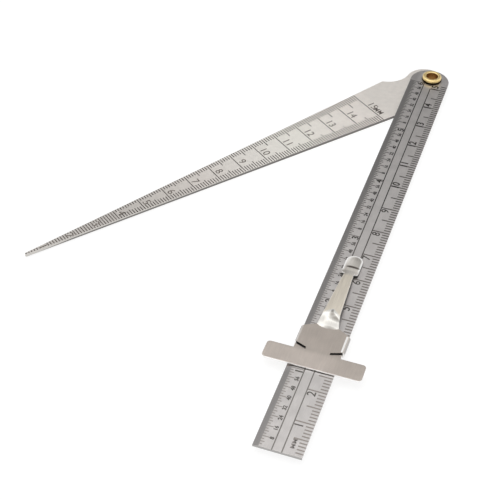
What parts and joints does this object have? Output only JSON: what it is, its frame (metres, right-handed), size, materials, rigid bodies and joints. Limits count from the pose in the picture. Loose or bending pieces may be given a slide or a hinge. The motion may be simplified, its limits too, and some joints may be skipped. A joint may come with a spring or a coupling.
{
  "type": "welding taper gauge",
  "caption": "Flat steel rule with a sliding depth crossbar and pocket clip, and a graduated taper blade that swings on a brass eyelet at its rounded head.",
  "frame": {"origin": "on the eyelet's axis at the rule's graduated face", "axes": "+Z out of the graduated face, +Y along the rule towards its rounded head, +X towards its metric edge"},
  "size_m": [0.097, 0.162, 0.0052],
  "materials": {
    "rule_steel": "satin rolled stainless with etched black graduations",
    "blade_steel": "fine satin stainless with etched black graduations",
    "eyelet_brass": "polished, slightly worn",
    "slider_steel": "satin plated sheet, a little warmer than the rule"
  },
  "bodies": {
    "rule": {"rule": "rule_steel", "pivot_eyelet": "eyelet_brass"},
    "taper_blade": {"taper_blade": "blade_steel"},
    "depth_slider": {"depth_slider": "slider_steel"}
  },
  "joints": [
    {"name": "blade_swing", "type": "hinge", "parent": "rule", "child": "taper_blade", "pos_m": [0, 0, 0], "axis": [0, 0, 1], "continuous": true},
    {"name": "slider_slide", "type": "slide", "parent": "rule", "child": "depth_slider", "axis": [0, 1, 0], "range_m": [-0.0259, 0.083]}
  ]
}
